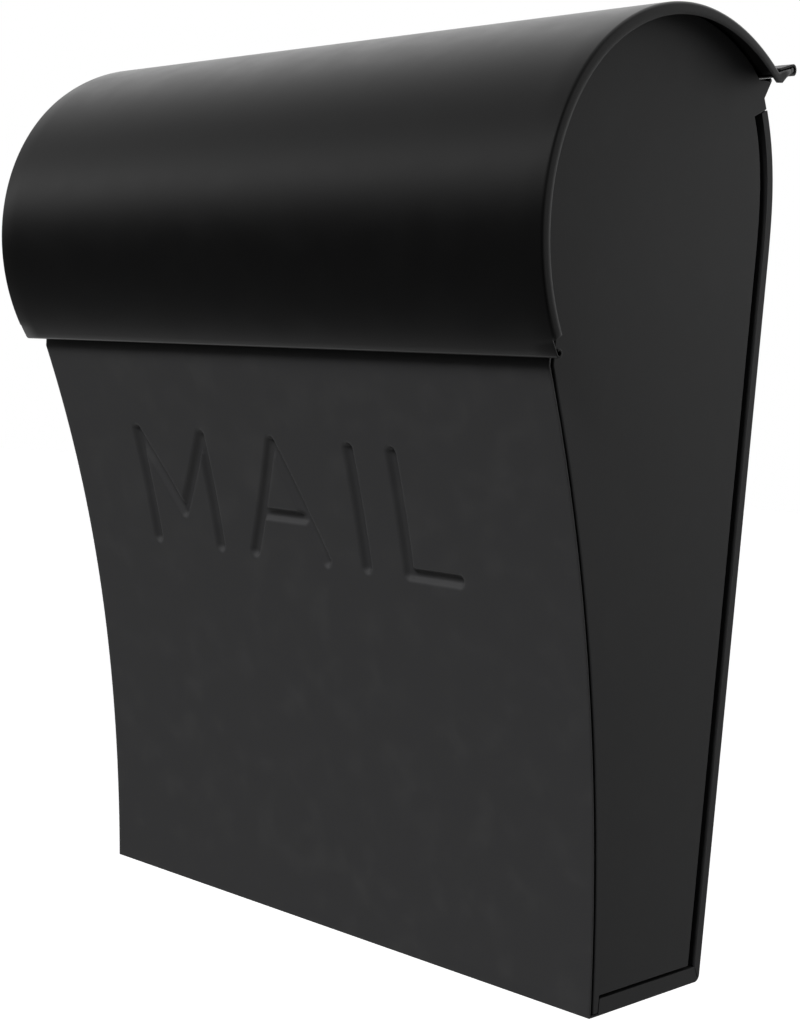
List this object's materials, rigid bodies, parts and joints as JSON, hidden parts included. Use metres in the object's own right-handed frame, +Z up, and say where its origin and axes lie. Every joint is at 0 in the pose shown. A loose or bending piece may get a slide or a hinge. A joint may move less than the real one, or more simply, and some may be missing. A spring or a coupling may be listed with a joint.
{
  "type": "wall mounted mailbox",
  "caption": "Folded sheet steel letter box for a wall, with a concave front and a drum shaped lid on a continuous hinge at the back.",
  "frame": {"origin": "on the back panel's wall face, midway across, 180 mm above the bottom edge", "axes": "+X to the right seen from the front, +Y into the wall, +Z up; the front faces -Y"},
  "size_m": [0.318, 0.1622, 0.3925],
  "materials": {
    "body_coat": "satin black powder coat with a fine orange peel",
    "lid_coat": "satin black powder coat, slightly smoother over the round",
    "hinge_coat": "satin black powder coat worn thin on the knuckles",
    "zinc_steel": "dull zinc plated wire"
  },
  "bodies": {
    "box": {"back_and_bottom_shell": "body_coat", "side_panel_left": "body_coat", "side_panel_right": "body_coat", "front_panel": "body_coat", "hinge_leaf_body": "hinge_coat", "hinge_pin": "zinc_steel", "rivet_body_1": "hinge_coat", "rivet_body_2": "hinge_coat", "rivet_body_3": "hinge_coat", "rivet_body_4": "hinge_coat", "rivet_body_5": "hinge_coat"},
    "lid": {"lid": "lid_coat", "hinge_leaf_lid": "hinge_coat", "rivet_lid_1": "hinge_coat", "rivet_lid_2": "hinge_coat", "rivet_lid_3": "hinge_coat", "rivet_lid_4": "hinge_coat", "rivet_lid_5": "hinge_coat"}
  },
  "joints": [
    {"name": "lid_hinge", "type": "hinge", "parent": "box", "child": "lid", "pos_m": [0, -0.0081, 0.2028], "axis": [-1, 0, 0], "range_deg": [0, 85]}
  ]
}
